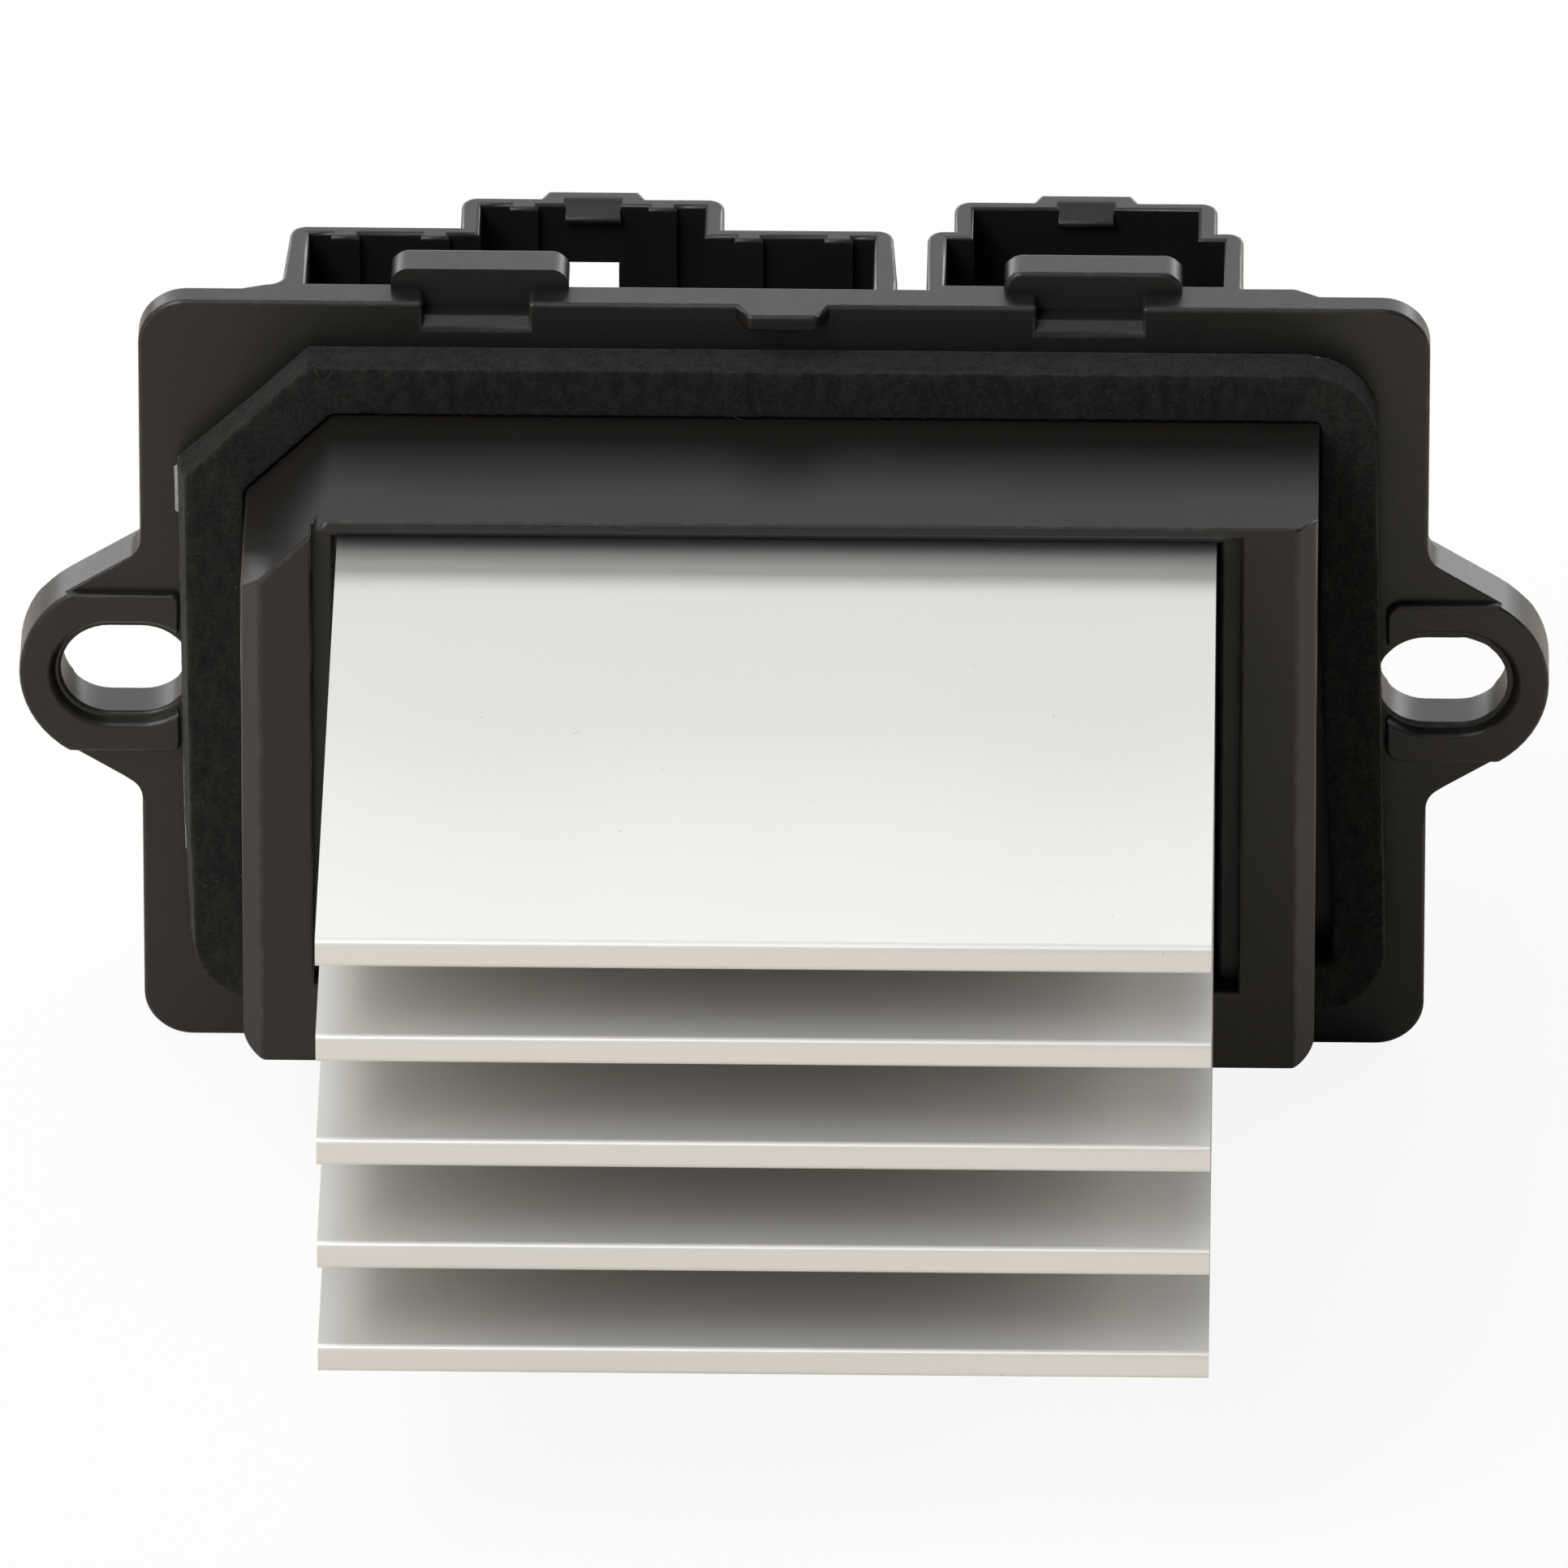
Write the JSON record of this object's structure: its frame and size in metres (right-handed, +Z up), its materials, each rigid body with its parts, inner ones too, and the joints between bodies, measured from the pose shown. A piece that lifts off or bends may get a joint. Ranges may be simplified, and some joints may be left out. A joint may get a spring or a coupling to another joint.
{
  "type": "blower motor resistor",
  "caption": "Moulded blower speed module for a vehicle: slotted mounting flange with foam seal, finned aluminium heat sink in front, plug sockets on top, closed electronics box behind.",
  "frame": {"origin": "middle of the flange's front face, halfway between the two mounting slots", "axes": "+X along the two slots, +Y away from the fins towards the electronics box, +Z up, the way the plugs leave their sockets"},
  "size_m": [0.1104, 0.0983, 0.0627],
  "materials": {
    "housing_plastic": "fine-grained dark warm grey moulding",
    "cover_plastic": "fine-grained dark warm grey moulding",
    "foam": "black open foam with a fibrous skin",
    "anodised_aluminium": "pale satin extrusion",
    "screw_steel": "zinc plated",
    "tinned_metal": "tin plated",
    "board_laminate": "green solder mask",
    "moulding_compound": "black moulding compound",
    "thermal_pad": "pale filled silicone",
    "capacitor_sleeve": "dark shrink sleeve",
    "ferrite": "dark sintered ferrite",
    "enamelled_copper": "enamelled wire",
    "resistance_alloy": "bare strap",
    "chip_ceramic": "tan ceramic with tinned ends"
  },
  "bodies": {
    "root": {"housing": "housing_plastic", "rear_cover": "cover_plastic", "gasket": "foam", "heat_sink": "anodised_aluminium", "circuit_board": "board_laminate", "thermal_pad_left": "thermal_pad", "thermal_pad_right": "thermal_pad", "power_transistor_left": "moulding_compound", "power_transistor_right": "moulding_compound", "transistor_leads_left": "tinned_metal", "transistor_leads_right": "tinned_metal", "heat_sink_screws": "screw_steel", "transistor_screws": "screw_steel", "board_screws": "screw_steel", "cover_screws": "screw_steel", "supply_terminal": "tinned_metal", "ground_terminal": "tinned_metal", "signal_pins": "tinned_metal", "motor_terminal_positive": "tinned_metal", "motor_terminal_negative": "tinned_metal", "filter_capacitor": "capacitor_sleeve", "capacitor_leads": "tinned_metal", "choke_core": "ferrite", "choke_winding": "enamelled_copper", "shunt_resistor": "resistance_alloy", "control_chip": "moulding_compound", "chip_leads": "tinned_metal", "surge_diode": "moulding_compound", "chip_resistors": "moulding_compound", "ceramic_capacitors": "chip_ceramic"}
  },
  "joints": []
}
